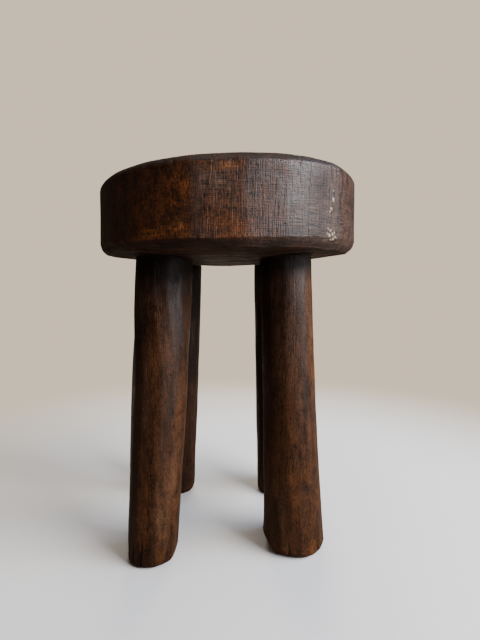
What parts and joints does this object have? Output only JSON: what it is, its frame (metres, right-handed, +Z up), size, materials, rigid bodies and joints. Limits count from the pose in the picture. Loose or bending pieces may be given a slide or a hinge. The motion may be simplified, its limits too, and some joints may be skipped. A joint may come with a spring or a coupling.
{
  "type": "milking stool",
  "caption": "Low round-topped wooden stool: a thick carved seat on splayed round legs, with tenons wedged through the seat.",
  "frame": {"origin": "on the floor, under the middle of the seat", "axes": "+Z up, -Y to the front, +X to the right as seen from the front"},
  "size_m": [0.214, 0.214, 0.3025],
  "materials": {
    "seat_wood": "dark aged hardwood with a worn, waxed sheen",
    "leg_wood": "dark aged hardwood, hand worked, satin",
    "wedge_wood": "aged hardwood, trimmed flush, dull"
  },
  "bodies": {
    "root": {"seat": "seat_wood", "leg_front_left": "leg_wood", "leg_front_right": "leg_wood", "leg_rear_left": "leg_wood", "leg_rear_right": "leg_wood", "wedge_front_left": "wedge_wood", "wedge_front_right": "wedge_wood", "wedge_rear_left": "wedge_wood", "wedge_rear_right": "wedge_wood"}
  },
  "joints": []
}
